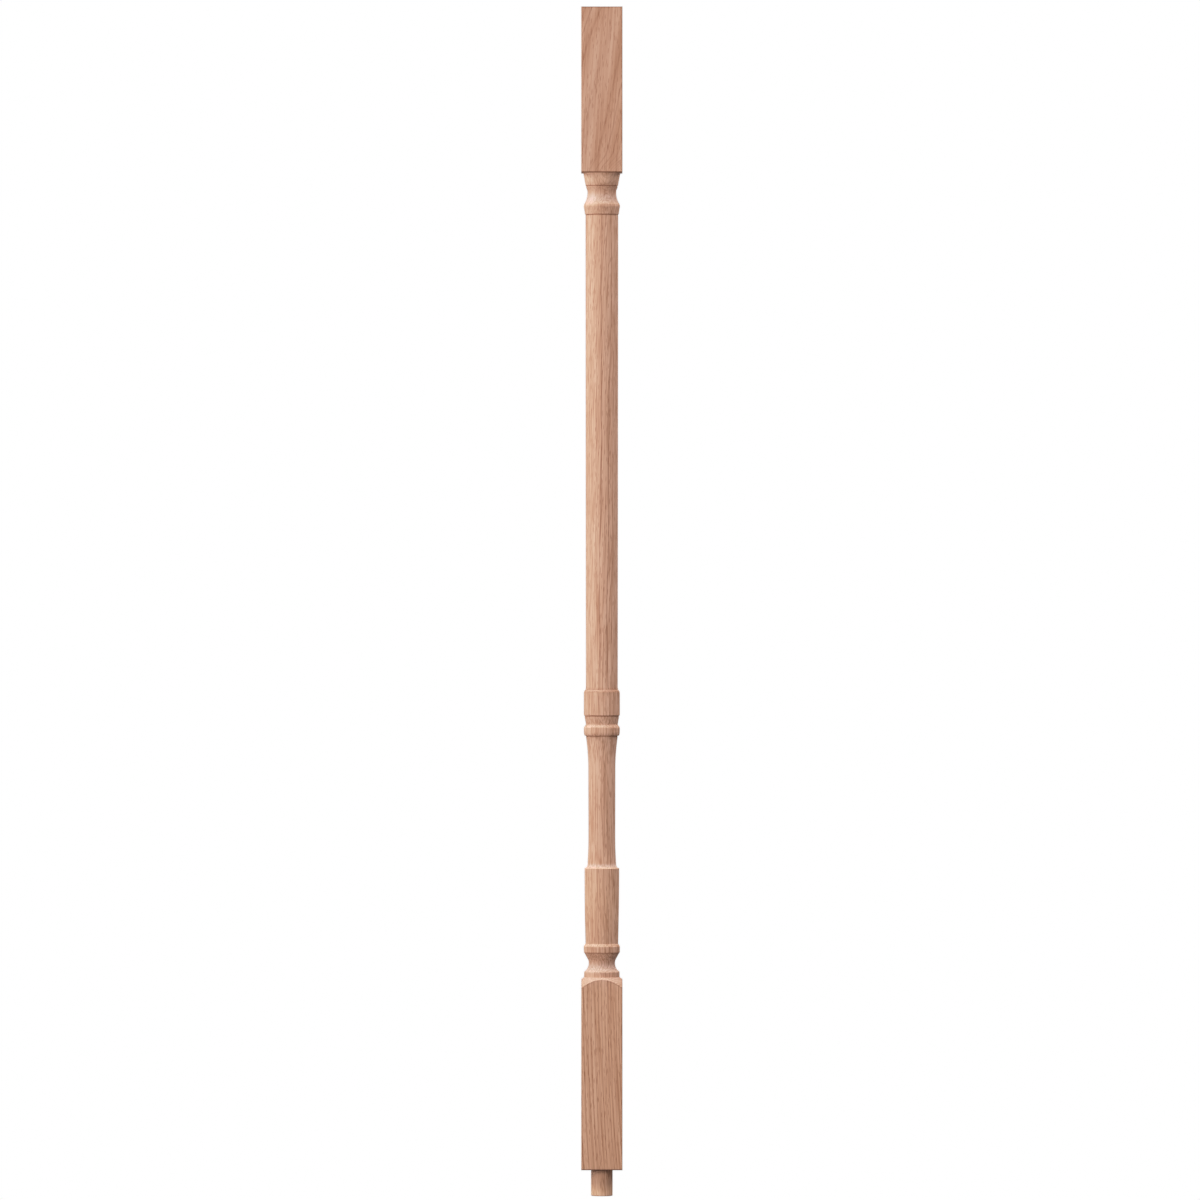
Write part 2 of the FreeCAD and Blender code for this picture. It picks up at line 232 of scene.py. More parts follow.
def add_rows(points):
    """Divide the long runs of an outline evenly, apart from a short step at each end of a run."""
    rows = [points[:1]]
    for first, second in zip(points[:-1], points[1:]):
        length = math.dist(first, second)
        steps = np.array([1.0])
        if length > SHORTEST_HELD_RUN:
            hold = EDGE_HOLD / length
            inner = max(1, int(np.ceil(length / LONGEST_ROW)))
            steps = np.append(np.linspace(hold, 1 - hold, inner + 1), 1.0)
        rows.append(first + steps[:, None] * (second - first))
    return np.concatenate(rows)


def column_angles():
    """The angle of each column round the axis: even steps across a face, then round the eased arris.

    The first quarter runs over the face at +X and the arris after it, and is then turned three times.
    """
    flat = HALF_WIDTH - ARRIS_RADIUS
    along_face = np.linspace(-flat, flat, COLUMNS_ACROSS_FACE + 1)
    face = np.arctan2(along_face, HALF_WIDTH)
    sweep = np.linspace(0, math.pi / 2, COLUMNS_ROUND_ARRIS + 1)[1:-1]
    arris = np.arctan2(flat + ARRIS_RADIUS * np.sin(sweep), flat + ARRIS_RADIUS * np.cos(sweep))
    quarter = np.append(face, arris)
    return (quarter[None, :] + np.arange(4)[:, None] * math.pi / 2).ravel()


def square_radius(angles):
    """Distance from the axis to the blank's surface: a square with its four corners rounded.

    With d the angle from the nearest face's middle, a face is at half / cos(d). On a rounded corner, e is
    the angle from the diagonal, c the distance of the corner's centre, and the surface is at
    c * cos(e) + sqrt(r^2 - (c * sin(e))^2).
    """
    from_face = np.abs((angles + math.pi / 4) % (math.pi / 2) - math.pi / 4)
    from_diagonal = math.pi / 4 - from_face
    centre = math.sqrt(2) * (HALF_WIDTH - ARRIS_RADIUS)
    reach = np.maximum(ARRIS_RADIUS ** 2 - (centre * np.sin(from_diagonal)) ** 2, 0)
    corner = centre * np.cos(from_diagonal) + np.sqrt(reach)
    on_face = HALF_WIDTH * np.tan(from_face) <= HALF_WIDTH - ARRIS_RADIUS
    return np.where(on_face, HALF_WIDTH / np.cos(from_face), corner)


def shoulder_height(radius):
    """Height of the lower block's shoulder at a distance from the axis.

    The shoulder is an arc from the bead's foot down to the square corner, and its centre lies inside the
    block: height = centre height + sqrt(R^2 - (radius - centre radius)^2).
    """
    corner = np.array([HALF_DIAGONAL, LOWER_BLOCK_LENGTH])
    top = np.array([BEAD_FOOT_RADIUS, BEAD_FOOT])
    chord = top - corner
    length = math.hypot(*chord)
    into_block = np.array([-chord[1], chord[0]]) / length
    centre = (corner + top) / 2 + into_block * math.sqrt(SHOULDER_RADIUS ** 2 - length ** 2 / 4)
    return centre[1] + np.sqrt(SHOULDER_RADIUS ** 2 - (radius - centre[0]) ** 2)


def flat_rows(start, end, height):
    """Rows across a flat step from one radius to another: radius = start + share * (end - start)."""
    return [(start + share * (end - start), height) for share in FLAT_SHARES]


def edge_rows(before, corner, after):
    """Rows round an eased edge: radius and height both follow the parabola between its two sides."""
    shares = np.linspace(0, 1, EASED_ROWS)
    return [[parabola(t, *ends) for ends in zip(before, corner, after)] for t in shares]


def block_rows(square, foot, top):
    """Rows up the sides of a block, evenly from just above its foot to just below its top."""
    low = foot + CLEAR_OF_EDGE
    high = top - CLEAR_OF_EDGE
    return [(square, low + share * (high - low)) for share in np.linspace(0, 1, BLOCK_ROWS)]


def shoulder_rows(outer):
    """Rows up the shoulder, in even steps of radius from its eased rim to the bead's foot."""
    shares = np.linspace(0, 1, SHOULDER_ROWS)[1:-1]
    radii = [outer + share * (BEAD_FOOT_RADIUS - outer) for share in shares]
    return [(radius, shoulder_height(radius)) for radius in radii]


def baluster_grid(angles):
    """The whole skin as rows of radius and height over the columns, from the pin's end to the top end.

    Round rows have one radius. Square rows follow the rounded square. The shoulder starts where its arc
    cuts the square, so its lower rim rises over each face as an arch.
    """
    square = square_radius(angles)
    inner = square - EASED_EDGE

    # The pin, from the ring inside its end up to the seat
    pin = np.array([
        [PIN_FAN * PIN_RADIUS, PIN_END],
        [PIN_RADIUS - PIN_CHAMFER, PIN_END],
        [PIN_RADIUS, PIN_END + PIN_CHAMFER],
        [PIN_RADIUS, SEAT],
    ])
    rows = list(add_rows(ease_corners(pin)))

    # The seat round the pin, the eased lower edge and the sides of the lower block
    rim = shoulder_height(square)
    rows += flat_rows(PIN_RADIUS, inner, SEAT)
    rows += edge_rows((inner, SEAT), (square, SEAT), (square, SEAT + EASED_EDGE))
    rows += block_rows(square, SEAT, rim)

    # The arched rim and the shoulder up to the bead
    rows += edge_rows((square, rim - EASED_EDGE), (square, rim), (inner, shoulder_height(inner)))
    rows += shoulder_rows(inner)

    # The turned stretch, and the flat step under the upper block
    turned = turned_points()
    neck_radius, foot = turned[-1]
    rows += list(add_rows(ease_corners(turned)))
    rows += flat_rows(neck_radius, inner, foot)

    # The upper block and its end
    rows += edge_rows((inner, foot), (square, foot), (square, foot + EASED_EDGE))
    rows += block_rows(square, foot, TOP_END)
    rows += edge_rows((square, TOP_END - EASED_EDGE), (square, TOP_END), (inner, TOP_END))
    rows += flat_rows(inner, 0, TOP_END)
    return [np.array([np.broadcast_to(part, square.shape) for part in parts]) for parts in zip(*rows)]


def skin_mesh(name, angles, radii, heights):
    """A closed mesh from a grid of radius and height over angle: x = r cos a, y = r sin a, z = h.

    Columns join round the axis, and a point on the axis closes each end with a fan.
    """
    count, around = radii.shape
    grid = np.stack([radii * np.cos(angles), radii * np.sin(angles), heights], axis=-1)
    poles = np.array([[0, 0, heights[0, 0]], [0, 0, heights[-1, 0]]])
    points = np.concatenate([grid.reshape(-1, 3), poles]) * MM
    index = np.arange(count * around).reshape(count, around)
    following = np.roll(index, -1, axis=1)
    quads = np.stack([index[:-1], following[:-1], following[1:], index[1:]], axis=-1).reshape(-1, 4)
    low_pole = np.full(around, count * around)
    high_pole = low_pole + 1
    low_fan = np.column_stack([low_pole, following[0], index[0]])
    high_fan = np.column_stack([high_pole, index[-1], following[-1]])
    mesh = bpy.data.meshes.new(name)
    mesh.from_pydata(points, [], quads.tolist() + low_fan.tolist() + high_fan.tolist())
    mesh.validate()
    mesh.shade_smooth()
    mesh.set_sharp_from_angle(angle=SHARP_FOLD)
    mesh.update()
    return mesh


def make_baluster(oak):
    """The baluster as one closed skin, riding on the only body in place of the plain solid."""
    angles = column_angles()
    radii, heights = baluster_grid(angles)
    mesh = skin_mesh("turned_baluster", angles, radii, heights)
    mesh.materials.append(oak)
    piece = bpy.data.objects.new("turned_baluster", mesh)
    bpy.context.scene.collection.objects.link(piece)
    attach(piece, "root")
    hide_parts("baluster")


# Red oak, cut from the tree with its heart behind the stick. Sizes and heights are in millimetres. Pairs
# give a height and the value there, with a smooth change from one to the next.

# The heart runs crooked beside the axis: how far aside (+ is right) and how far behind
HEART_ASIDE = (
    (-20, -30), (140, -40), (200, -37), (300, -33), (371, -6), (550, -10), (734, -16.5), (767, -16),
    (800, -11), (850, -1), (894, 12),
)
HEART_BEHIND = (
    (-20, 35.9), (140, 34), (200, 36), (300, 42), (371, 51.3), (550, 50.5), (734, 48.6), (767, 48.1),
    (894, 48.1),
)
# The fibres lean a little from the axis: how far aside they have run
FIBRE_ASIDE = ((-20, 9), (60, 4), (150, -1), (235, -5), (330, -6), (500, 0), (740, 13), (894, 24))
# Growth rings: the width of a year, where years are counted from, and how far rings stray from circles
RING_WIDTH = (
    (-20, 1.5), (140, 1.5), (300, 1.2), (700, 1.2), (738, 0.7), (765, 0.7), (785, 1.5), (894, 1.5),
)
OUTER_RING = 64.0
RING_WANDER = 0.8
RING_RAGGED = 0.12
# Early wood: its share of a year, the share of a year in which it sets in, the share of its own part
# after which it fades, and how strong it is in the weakest year
EARLY_PART = (
    (-20, 0.3), (140, 0.3), (165, 0.2), (300, 0.18), (371, 0.2), (734, 0.2), (780, 0.3), (894, 0.3),
)
EARLY_ONSET = 0.03
EARLY_FULL = 0.3
WEAKEST_YEAR = 0.6
# How plainly the early wood, the fibres, the broad bands and the browner lower block show
EARLY_SHOWS = (
    (-20, 0.5), (0, 0.6), (20, 1.0), (140, 1.0), (200, 1.0), (222, 0.5), (300, 0.55), (371, 1.0),
    (700, 1.0), (730, 0.7), (741, 0.4), (748, 0.9), (757, 0.5), (894, 0.5),
)
FIBRE_SHOWS = (
    (-20, 0.7), (140, 0.7), (170, 1.0), (300, 1.0), (550, 0.78), (740, 0.78), (780, 0.44), (894, 0.44),
)
BAND_SHOWS = ((-20, 0.15), (140, 0.15), (300, 0.15), (550, 0.15), (758, 0.15), (775, 1.0), (894, 1.0))
BROWN_SHOWS = ((-20, 0.0), (0, 1.0), (135, 1.0), (150, 0.0), (894, 0.0))
BAND_WIDTH = 2.6

# Soft tones in the wood: the size of a cell across, through and along the stick, how much finer tone lies
# in it, and a shift that keeps any two tones from lining up
Tone = namedtuple("Tone", "cell detail shift")
WANDER = Tone((16.0, 16.0, 170.0), 1.0, 3.1)
RAGGED = Tone((1.4, 1.4, 20.0), 1.0, 5.7)
FIBRE = Tone((0.72, 0.72, 50.0), 1.0, 1.3)
STREAK = Tone((2.2, 2.2, 60.0), 2.0, 4.1)
BROAD_STREAK = Tone((8.0, 8.0, 190.0), 2.0, 7.9)
# The span of such a tone over which the wood goes from dark to pale
FIBRE_SPAN = (0.3, 0.6)
STREAK_SPAN = (0.25, 0.75)

# Scattered spots in the wood: the size of a cell, and a shift
Spots = namedtuple("Spots", "cell shift")
PORE_SPOTS = Spots((0.9, 0.9, 9.0), 0.0)
RAY_SPOTS = Spots((0.42, 5.0, 11.0), 9.3)
# The radius of pores in late and in early wood and of rays, and the softness of their rim, all in cells
LATE_PORE = 0.23
EARLY_PORE = 0.42
RAY_RADIUS = 0.26
SPOT_RIM = 0.07
# The distance from the heart at which the width of the rays is counted
RAY_DISTANCE = 55.0
# How plainly pores and rays show
PORES_SHOW = 0.6
RAYS_SHOW = 0.2

# Finish: roughness of the wood and of its pores, and how deep pores lie and fibres stand against them
WOOD_ROUGHNESS = 0.55
PORE_ROUGHNESS = 0.75
PORE_DEPTH = 0.12
FIBRE_RELIEF = 0.4
BUMP_STRENGTH = 0.35

# Colours of the wood, and the tints that multiply them: dark fibres and streaks are also redder
LATEWOOD = (0.580, 0.318, 0.216, 1)
EARLYWOOD = (0.343, 0.158, 0.093, 1)
PORE = (0.250, 0.100, 0.050, 1)
RAY = (0.62, 0.37, 0.24, 1)
DARK_FIBRE = (0.69, 0.60, 0.52, 1)
PALE_FIBRE = (1.09, 1.13, 1.16, 1)
DARK_BAND = (0.77, 0.71, 0.655, 1)
PALE_BAND = (0.91, 0.905, 0.90, 1)
DARK_STREAK = (0.95, 0.93, 0.91, 1)
PALE_STREAK = (1.05, 1.07, 1.09, 1)
BROWN_TONE = (0.97, 0.95, 0.90, 1)
# Painted shade in the quirks
QUIRK_PAINTED_SHADE = (0.74, 0.67, 0.62, 1)
# Painted shade under the upper block
UNDERSIDE_PAINTED_SHADE = (0.60, 0.53, 0.47, 1)
# Painted shade on the ledge at the band's top, which dulls the highlight it catches
LEDGE_PAINTED_SHADE = (0.70, 0.64, 0.59, 1)
# Painted light on the neck
NECK_PAINTED_LIGHT = (1.24, 1.31, 1.34, 1)
# Painted light on the pin's lower part
PIN_PAINTED_LIGHT = (1.35, 1.40, 1.34, 1)
PALE_SLEEVE = (1.06, 1.07, 1.04, 1)
# Painted sheen in the hollows
HOLLOW_PAINTED_SHEEN = (1.05, 1.17, 1.33, 1)
# Painted shade on the shoulder: a little on its top, more at its outer corners
SHOULDER_TOP_PAINTED_SHADE = (0.92, 0.92, 0.96, 1)
SHOULDER_CORNER_PAINTED_SHADE = (0.71, 0.67, 0.63, 1)
# Painted shade on the seat and the lower block's bottom edge
SEAT_PAINTED_SHADE = (0.32, 0.27, 0.25, 1)
END_GRAIN = (0.62, 0.57, 0.55, 1)
WORN_ARRIS = (0.84, 0.79, 0.76, 1)

# Where the wood is tinted all round: painted shade in the quirks, under the upper block, on a ledge
# where it dulls a highlight and at the seat, painted light on the neck and the pin, a painted sheen
# in the hollows, a paler sleeve, and end grain. Each has its height, how far it reaches up and down, and
# its tint. The ledge's lies a little below the hollow's foot, and the neck's a little above its middle.
QUIRKS = ("lower ring foot", "upper ring foot", "band foot", "collar foot", "neck foot")
LEDGE_DROP = 0.3
NECK_LIFT = 1.0
Tint = namedtuple("Tint", "height reach colour")
TINTS = (
    *(Tint(foot_of(name), 1.0, QUIRK_PAINTED_SHADE) for name in QUIRKS),
    Tint(UPPER_BLOCK_FOOT, 1.0, UNDERSIDE_PAINTED_SHADE),
    Tint(foot_of("band hollow") - LEDGE_DROP, 3.0, LEDGE_PAINTED_SHADE),
    Tint(middle_of("neck") + NECK_LIFT, 5.5, NECK_PAINTED_LIGHT),
    Tint(PIN_END, 11.0, PIN_PAINTED_LIGHT),
    Tint(middle_of("sleeve"), 45.0, PALE_SLEEVE),
    Tint(middle_of("vase hollow"), 2.4, HOLLOW_PAINTED_SHEEN),
    Tint(middle_of("scotia rise"), 5.5, HOLLOW_PAINTED_SHEEN),
    Tint(middle_of("cove rise"), 5.5, HOLLOW_PAINTED_SHEEN),
    Tint(PIN_END, 1.1, END_GRAIN),
    Tint(TOP_END, 1.1, END_GRAIN),
    Tint(SEAT, 1.4, SEAT_PAINTED_SHADE),
)
# The share of its reach up to which a tint is full
FULL_TINT = 0.1

# The shoulder's cut: how far inside its chord it counts fully and at all, and how softly the bead ends it
FULL_CUT = 0.2
END_OF_CUT = 0.9
CUT_STOP = 0.2
# Wear: how far from an arris or a top edge it is full, and where it ends
FULL_WEAR = 0.3
END_OF_WEAR = 1.2

# Sockets of the node that mixes colours
MIX_SHARE, MIX_FIRST, MIX_SECOND, MIX_RESULT = 0, 6, 7, 2


def add_node(tree, kind, inputs, **options):
    """Add a node, set its options, and fill its inputs with values or with other nodes' outputs."""
    made = tree.nodes.new("ShaderNode" + kind)
    for name, value in options.items():
        setattr(made, name, value)
    for name, value in inputs.items():
        if isinstance(value, bpy.types.NodeSocket):
            tree.links.new(value, made.inputs[name])
        else:
            made.inputs[name].default_value = value
    return made


def work_out(tree, operation, *terms):
    """One step of arithmetic on numbers and outputs."""
    return add_node(tree, "Math", dict(enumerate(terms)), operation=operation).outputs[0]


def distance(tree, across, through):
    """Distance from an upright axis: the square root of the sum of two squares."""
    squares = work_out(tree, "MULTIPLY_ADD", across, across, work_out(tree, "MULTIPLY", through, through))
    return work_out(tree, "SQRT", squares)


def ramp(tree, value, nothing, full):
    """A smooth rise from 0 where the value is at nothing to 1 where it is at full."""
    inputs = {"Value": value, "From Min": nothing, "From Max": full, "To Min": 0.0, "To Max": 1.0}
    return add_node(tree, "MapRange", inputs, interpolation_type="SMOOTHSTEP").outputs["Result"]


def share_of(tree, value, low, high):
    """How far a value lies from low to high, from 0 to 1."""
    inputs = {"Value": value, "From Min": low, "From Max": high, "To Min": 0.0, "To Max": 1.0}
    return add_node(tree, "MapRange", inputs).outputs["Result"]


def between(tree, share, low, high):
    """A number from 0 to 1 spread over another span."""
    inputs = {"Value": share, "From Min": 0.0, "From Max": 1.0, "To Min": low, "To Max": high}
    return add_node(tree, "MapRange", inputs).outputs["Result"]


def draw_curve(curve, points):
    """Put points on a curve that so far has only its two ends."""
    for along, up in points[1:-1]:
        curve.points.new(along, up)
    curve.points[0].location = points[0]
    curve.points[len(points) - 1].location = points[-1]


def follow(tree, height, pairs):
    """A smooth curve through pairs of a height and a value, read at a height."""
    heights, values = np.array(pairs, float).T
    low, high = values.min(), values.max()
    bend = add_node(tree, "FloatCurve", {"Value": share_of(tree, height, heights[0], heights[-1])})
    along = (heights - heights[0]) / (heights[-1] - heights[0])
    draw_curve(bend.mapping.curves[0], list(zip(along, (values - low) / (high - low))))
    bend.mapping.update()
    return between(tree, bend.outputs["Value"], low, high)


def in_cells(tree, place, pattern):
    """A place counted in a pattern's cells, and shifted by it."""
    shift = (pattern.shift, 2 * pattern.shift, 3 * pattern.shift)
    sized = add_node(tree, "VectorMath", {0: place, 1: pattern.cell}, operation="DIVIDE")
    return add_node(tree, "VectorMath", {0: sized.outputs["Vector"], 1: shift}).outputs["Vector"]


def grain_tone(tree, place, tone):
    """Soft random tone from 0 to 1 that changes over a cell, drawn out along the grain."""
    inputs = {"Vector": in_cells(tree, place, tone), "Scale": 1.0, "Detail": tone.detail}
    return add_node(tree, "TexNoise", inputs).outputs[0]


def spots(tree, place, kind, radius):
    """Scattered long spots, one in each cell: 1 inside a spot and 0 outside it."""
    inputs = {"Vector": in_cells(tree, place, kind), "Scale": 1.0, "Randomness": 1.0}
    away = add_node(tree, "TexVoronoi", inputs).outputs["Distance"]
    return ramp(tree, work_out(tree, "SUBTRACT", away, radius), SPOT_RIM, -SPOT_RIM)


def mix(tree, share, first, second, blend="MIX"):
    """A colour between two others."""
    inputs = {MIX_SHARE: share, MIX_FIRST: first, MIX_SECOND: second}
    made = add_node(tree, "Mix", inputs, data_type="RGBA", blend_type=blend)
    return made.outputs[MIX_RESULT]


def early_wood(tree, from_heart, height):
    """How much early wood shows at a place, from 0 to 1.

    Years are distances from the outer ring divided by the width of a year. In each year the early wood
    sets in at once and fades over its part, and some years have more of it than others.
    """
    inside = work_out(tree, "SUBTRACT", from_heart, OUTER_RING)
    years = work_out(tree, "DIVIDE", inside, follow(tree, height, RING_WIDTH))
    season = work_out(tree, "FRACT", years)
    year = work_out(tree, "FLOOR", years)
    vigour = add_node(tree, "TexWhiteNoise", {"W": year}, noise_dimensions="1D").outputs["Value"]
    part = follow(tree, height, EARLY_PART)
    fade = ramp(tree, season, part, work_out(tree, "MULTIPLY", part, EARLY_FULL))
    early = work_out(tree, "MULTIPLY", ramp(tree, season, 0.0, EARLY_ONSET), fade)
    early = work_out(tree, "MULTIPLY", early, between(tree, vigour, WEAKEST_YEAR, 1.0))
    return work_out(tree, "MULTIPLY", early, follow(tree, height, EARLY_SHOWS))


def broad_bands(tree, from_heart):
    """Soft random tone from 0 to 1 that changes only from ring to ring, over a band's width."""
    bands = work_out(tree, "DIVIDE", from_heart, BAND_WIDTH)
    inputs = {"W": bands, "Scale": 1.0, "Detail": 0.0}
    return add_node(tree, "TexNoise", inputs, noise_dimensions="1D").outputs[0]


def shoulder_cut(tree, x, y, height):
    """Where the lower block's shoulder was cut, and how far out on it a place lies, each from 0 to 1.

    A place is on the cut if it lies no further in than the cut's chord, whose radius shrinks evenly from
    the square corner to the bead's foot.
    """
    slope = (HALF_DIAGONAL - BEAD_FOOT_RADIUS) / SHOULDER_LENGTH
    from_axis = distance(tree, x, y)
    chord = work_out(tree, "MULTIPLY_ADD", height, -slope, BEAD_FOOT_RADIUS + BEAD_FOOT * slope)
    on_cut = ramp(tree, work_out(tree, "SUBTRACT", from_axis, chord), -END_OF_CUT, -FULL_CUT)
    below_bead = ramp(tree, height, BEAD_FOOT + CUT_STOP, BEAD_FOOT - CUT_STOP)
    far_out = ramp(tree, from_axis, BEAD_FOOT_RADIUS, HALF_DIAGONAL)
    return work_out(tree, "MULTIPLY", on_cut, below_bead), far_out


def edge_wear(tree, x, y, height):
    """How worn the arrises and the top edges are at a place, from 0 to 1.

    On an arris the smaller of |x| and |y| comes near half the blank's width. On a top edge the larger of
    them and the height together come near their greatest sum.
    """
    wide = work_out(tree, "ABSOLUTE", x)
    deep = work_out(tree, "ABSOLUTE", y)
    arris = work_out(tree, "SUBTRACT", work_out(tree, "MINIMUM", wide, deep), HALF_WIDTH)
    edge = work_out(tree, "ADD", work_out(tree, "MAXIMUM", wide, deep), height)
    edge = work_out(tree, "SUBTRACT", edge, HALF_WIDTH + TOP_END)
    return ramp(tree, work_out(tree, "MAXIMUM", arris, edge), -END_OF_WEAR, -FULL_WEAR)


def with_tints_and_painted_light(tree, colour, x, y, height):
    """A colour of the wood with the tints at their heights (mostly painted shade and painted light),
    painted shade on the shoulder, and worn edges.
    """
    for tint in TINTS:
        away = work_out(tree, "ABSOLUTE", work_out(tree, "SUBTRACT", height, tint.height))
        near = ramp(tree, away, tint.reach, FULL_TINT * tint.reach)
        colour = mix(tree, near, colour, tint.colour, "MULTIPLY")
    # Painted shade on the lower block's shoulder, growing towards its outer corners
    cut, far_out = shoulder_cut(tree, x, y, height)
    colour = mix(tree, cut, colour, mix(tree, far_out, SHOULDER_TOP_PAINTED_SHADE, SHOULDER_CORNER_PAINTED_SHADE), "MULTIPLY")
    return mix(tree, edge_wear(tree, x, y, height), colour, WORN_ARRIS, "MULTIPLY")


def make_oak():
    """Raw sanded red oak, worked out in the solid so that the grain runs through every cut.

    Growth rings are shells round the heart, with an open-pored early part and a dense late part. Pores
    are long spots along the fibres, thick in the early part. Rays are thin plates that run out from the
    heart.
    """
    oak = bpy.data.materials.new("red_oak")
    oak.use_nodes = True
    tree = oak.node_tree
    shader = tree.nodes["Principled BSDF"]

    # The place in the wood in millimetres, and the same place seen from the heart and along the fibres
    metres = add_node(tree, "TexCoord", {}).outputs["Object"]
    place = add_node(tree, "VectorMath", {0: metres, "Scale": 1 / MM}, operation="SCALE")
    x, y, z = add_node(tree, "SeparateXYZ", {0: place.outputs["Vector"]}).outputs
    aside = work_out(tree, "SUBTRACT", x, follow(tree, z, HEART_ASIDE))
    behind = work_out(tree, "SUBTRACT", y, follow(tree, z, HEART_BEHIND))
    along_fibre = work_out(tree, "SUBTRACT", x, follow(tree, z, FIBRE_ASIDE))
    fibre = add_node(tree, "CombineXYZ", {0: along_fibre, 1: y, 2: z}).outputs[0]

    # Growth rings, pores and rays
    from_heart = distance(tree, aside, behind)
    for tone, reach in ((WANDER, RING_WANDER), (RAGGED, RING_RAGGED)):
        stray = grain_tone(tree, fibre, tone)
        from_heart = work_out(tree, "MULTIPLY_ADD", stray, reach, from_heart)
    early = early_wood(tree, from_heart, z)
    pores = spots(tree, fibre, PORE_SPOTS, between(tree, early, LATE_PORE, EARLY_PORE))
    turn = work_out(tree, "MULTIPLY", work_out(tree, "ARCTAN2", aside, behind), RAY_DISTANCE)
    round_heart = add_node(tree, "CombineXYZ", {0: turn, 1: from_heart, 2: z}).outputs[0]
    rays = spots(tree, round_heart, RAY_SPOTS, RAY_RADIUS)

    # Colour
    fine = grain_tone(tree, fibre, FIBRE)
    bands = broad_bands(tree, from_heart)
    streaks = grain_tone(tree, fibre, STREAK)
    broad_streaks = grain_tone(tree, fibre, BROAD_STREAK)
    colour = mix(tree, early, LATEWOOD, EARLYWOOD)
    colour = mix(tree, work_out(tree, "MULTIPLY", rays, RAYS_SHOW), colour, RAY)
    for share, tone, span, dark, pale in (
            (follow(tree, z, FIBRE_SHOWS), fine, FIBRE_SPAN, DARK_FIBRE, PALE_FIBRE),
            (follow(tree, z, BAND_SHOWS), bands, STREAK_SPAN, DARK_BAND, PALE_BAND),
            (1.0, streaks, STREAK_SPAN, DARK_STREAK, PALE_STREAK),
            (1.0, broad_streaks, STREAK_SPAN, DARK_STREAK, PALE_STREAK)):
        tint = mix(tree, ramp(tree, tone, *span), dark, pale)
        colour = mix(tree, share, colour, tint, "MULTIPLY")
    colour = mix(tree, work_out(tree, "MULTIPLY", pores, PORES_SHOW), colour, PORE)
    colour = mix(tree, follow(tree, z, BROWN_SHOWS), colour, BROWN_TONE, "MULTIPLY")
    tree.links.new(with_tints_and_painted_light(tree, colour, x, y, z), shader.inputs["Base Color"])

    # Finish
    roughness = between(tree, pores, WOOD_ROUGHNESS, PORE_ROUGHNESS)
    tree.links.new(roughness, shader.inputs["Roughness"])
    relief = work_out(tree, "MULTIPLY_ADD", pores, -1.0, work_out(tree, "MULTIPLY", fine, FIBRE_RELIEF))
    inputs = {"Strength": BUMP_STRENGTH, "Distance": PORE_DEPTH * MM, "Height": relief}
    bump = add_node(tree, "Bump", inputs)
    tree.links.new(bump.outputs["Normal"], shader.inputs["Normal"])
    return oak


# The camera stands level in front of the axis, as far off as the photograph's mild perspective says. Its
# place and its frame are in metres, and the sensor is in millimetres.
CAMERA_PLACE = Vector((-0.00142, -7.0, 0.438))
SENSOR_WIDTH = 36.0
FRAME_WIDTH_AT_AXIS = 0.9237


def make_camera():
    """A long lens whose frame is as wide at the axis as the photograph's."""
    data = bpy.data.cameras.new("camera")
    data.sensor_width = SENSOR_WIDTH
    data.lens = SENSOR_WIDTH * -CAMERA_PLACE.y / FRAME_WIDTH_AT_AXIS
    camera = bpy.data.objects.new("camera", data)
    camera.location = CAMERA_PLACE
    camera.rotation_euler = (math.pi / 2, 0, 0)
    bpy.context.scene.collection.objects.link(camera)
    bpy.context.scene.camera = camera


# How film answers light: each amount of light and how bright it shows, paling softly up to white
FILM = (
    (0.0, 0.0), (0.15, 0.15), (0.3, 0.3), (0.45, 0.448),
    (0.6, 0.58), (0.8, 0.71), (1.0, 0.82), (1.25, 1.0),
)
WHITE_LIGHT = FILM[-1][0]
# The one of the film's four curves that bends all colours alike
ALL_COLOURS_CURVE = 3


def set_film():
    """Bend the picture's brightness as film does."""
    settings = bpy.context.scene.view_settings
    settings.view_transform = "Standard"
    settings.use_curve_mapping = True
    film = settings.curve_mapping
    film.white_level = (WHITE_LIGHT, WHITE_LIGHT, WHITE_LIGHT)
    draw_curve(film.curves[ALL_COLOURS_CURVE], [(light / WHITE_LIGHT, shown) for light, shown in FILM])
    film.update()


# The floor, in metres, and the colours that the studio is made of
FLOOR_RADIUS = 1.6
FLOOR_SIDES = 64
WHITE = (1, 1, 1, 1)
BLACK = (0, 0, 0, 1)


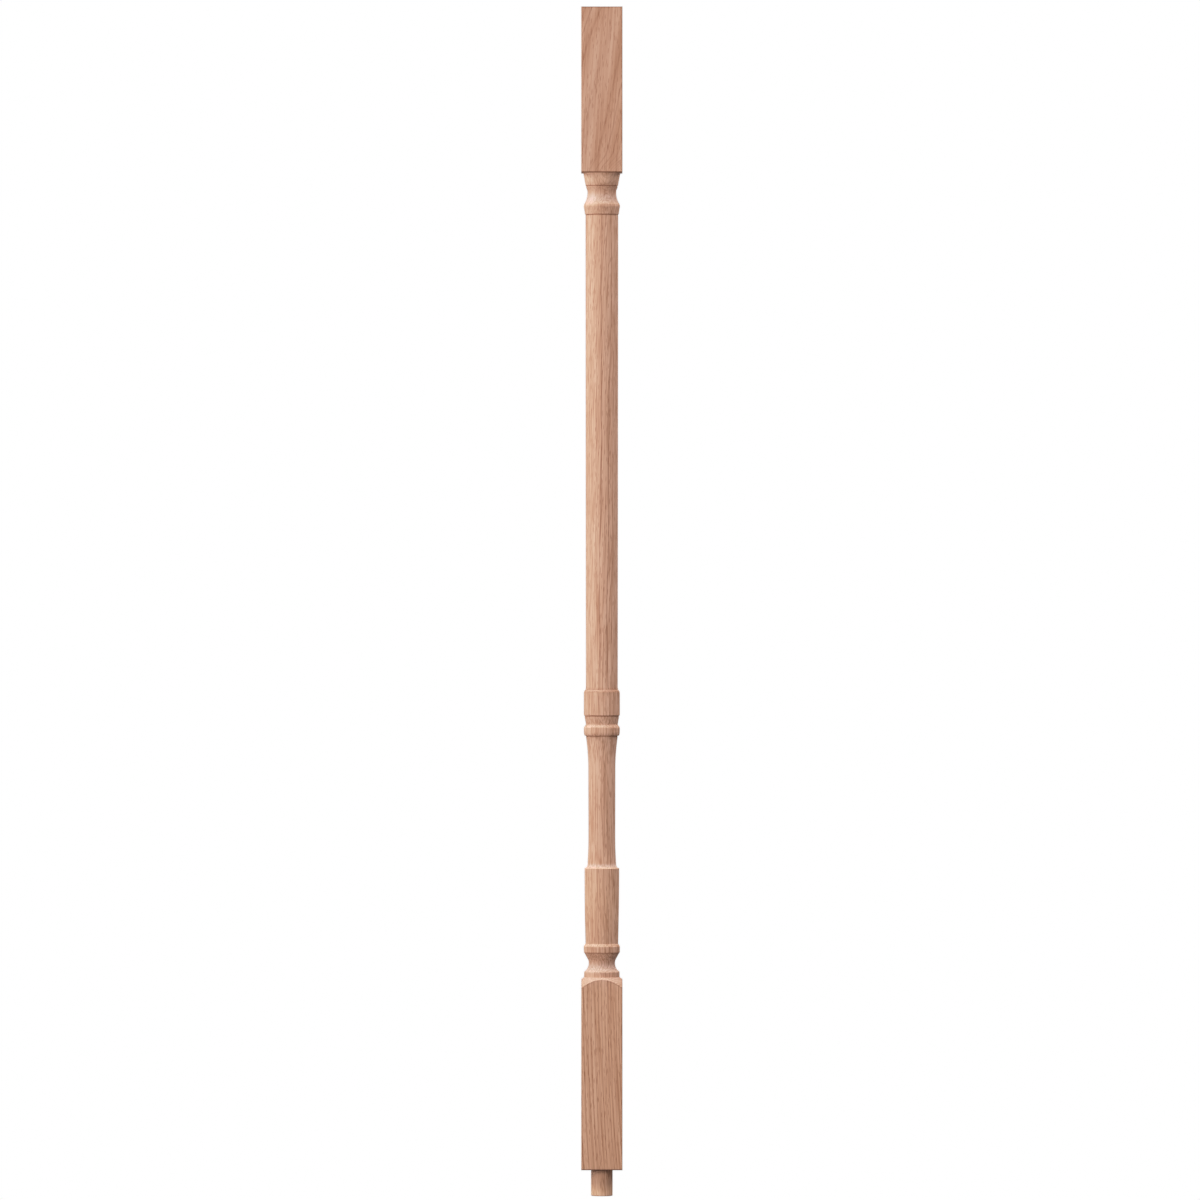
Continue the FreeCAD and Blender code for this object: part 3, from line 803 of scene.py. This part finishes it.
def make_floor():
    """A round pale floor under the pin, which glows evenly.

    It is one fan of triangles, with its rim at x = R cos a, y = R sin a.
    """
    angles = np.linspace(0, 2 * math.pi, FLOOR_SIDES, endpoint=False)
    rim = np.column_stack([np.cos(angles), np.sin(angles), np.zeros(FLOOR_SIDES)]) * FLOOR_RADIUS
    points = np.concatenate([np.zeros((1, 3)), rim])
    points[:, 2] = cad_low.z
    first = np.arange(1, FLOOR_SIDES + 1)
    fan = np.column_stack([np.zeros(FLOOR_SIDES, int), first, np.roll(first, -1)])
    mesh = bpy.data.meshes.new("floor")
    mesh.from_pydata(points, [], fan.tolist())
    mesh.update()
    floor = bpy.data.objects.new("floor", mesh)
    bpy.context.scene.collection.objects.link(floor)
    paint = bpy.data.materials.new("pale_floor")
    paint.use_nodes = True
    shader = paint.node_tree.nodes["Principled BSDF"]
    shader.inputs["Base Color"].default_value = BLACK
    shader.inputs["Specular IOR Level"].default_value = 0.0
    shader.inputs["Emission Color"].default_value = WHITE
    shader.inputs["Emission Strength"].default_value = WHITE_LIGHT
    mesh.materials.append(paint)
    floor.visible_diffuse = False
    floor.visible_glossy = False


# Softboxes round the baluster, in metres: where each stands, its side, its power in watts and whether it
# shows in the wood's sheen. The sheen comes from the left and from above, and the others only give light.
LIGHT_AIM = Vector((0, 0, 0.45))
Softbox = namedtuple("Softbox", "name azimuth reach height side power shines")
SOFTBOXES = (
    Softbox("front_left", -30, 1.6, 0.5, 0.7, 16.5, False),
    Softbox("low_left", -60, 1.6, 0.0, 0.7, 3.8, True),
    Softbox("high_left", -90, 1.6, 1.8, 0.7, 30.5, True),
    Softbox("high_right", 108, 1.6, 1.8, 0.7, 21.0, False),
    Softbox("ceiling", 0, 0.0, 3.5, 3.4, 222.0, True),
    Softbox("back_left", -160, 1.6, 0.5, 0.7, 14.0, False),
    Softbox("back_right", 160, 1.6, 0.5, 0.7, 8.0, False),
)
ROOM_LIGHT = 0.28


def make_softbox(box):
    """A square soft light, its azimuth counted from the camera's side towards the right, in degrees."""
    data = bpy.data.lights.new(box.name, "AREA")
    data.size = box.side
    data.energy = box.power
    light = bpy.data.objects.new(box.name, data)
    turn = math.radians(box.azimuth)
    light.location = (box.reach * math.sin(turn), -box.reach * math.cos(turn), box.height)
    light.rotation_euler = (light.location - LIGHT_AIM).to_track_quat("Z", "Y").to_euler()
    light.visible_camera = False
    light.visible_glossy = box.shines
    bpy.context.scene.collection.objects.link(light)


def make_studio():
    """Soft light from the softboxes in a dim room that looks plain white to the camera."""
    for box in SOFTBOXES:
        make_softbox(box)
    world = bpy.data.worlds.new("studio")
    world.use_nodes = True
    bpy.context.scene.world = world
    background = world.node_tree.nodes["Background"]
    background.inputs["Color"].default_value = WHITE
    seen = add_node(world.node_tree, "LightPath", {}).outputs["Is Camera Ray"]
    strength = between(world.node_tree, seen, ROOM_LIGHT, WHITE_LIGHT)
    world.node_tree.links.new(strength, background.inputs["Strength"])


make_baluster(make_oak())
make_camera()
make_floor()
make_studio()
set_film()
